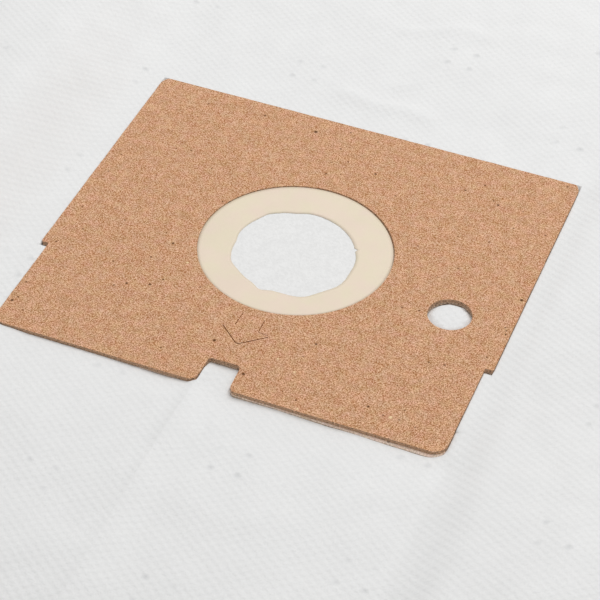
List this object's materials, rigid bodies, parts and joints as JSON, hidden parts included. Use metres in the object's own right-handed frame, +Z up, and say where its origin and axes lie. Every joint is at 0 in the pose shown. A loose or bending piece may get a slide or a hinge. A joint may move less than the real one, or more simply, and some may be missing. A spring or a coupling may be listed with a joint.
{
  "type": "vacuum dust bag",
  "caption": "Flat nonwoven dust bag for a vacuum cleaner, with a notched card collar and a seal membrane round its inlet hole.",
  "frame": {"origin": "the middle of the bag's plan, on the surface that the back panel lies on", "axes": "+X across the bag towards the collar's locating hole, +Y along the bag away from the collar's key notch, +Z up out of the collar's face"},
  "size_m": [0.26, 0.3, 0.0148],
  "materials": {
    "nonwoven": "matt embossed white nonwoven",
    "kraft_card": "matt uncoated brown board",
    "seal_membrane": "satin cream film"
  },
  "bodies": {
    "root": {"bag_back_panel": "nonwoven", "bag_front_panel": "nonwoven", "collar_backing_card": "kraft_card", "collar_card": "kraft_card", "seal_membrane": "seal_membrane"}
  },
  "joints": []
}
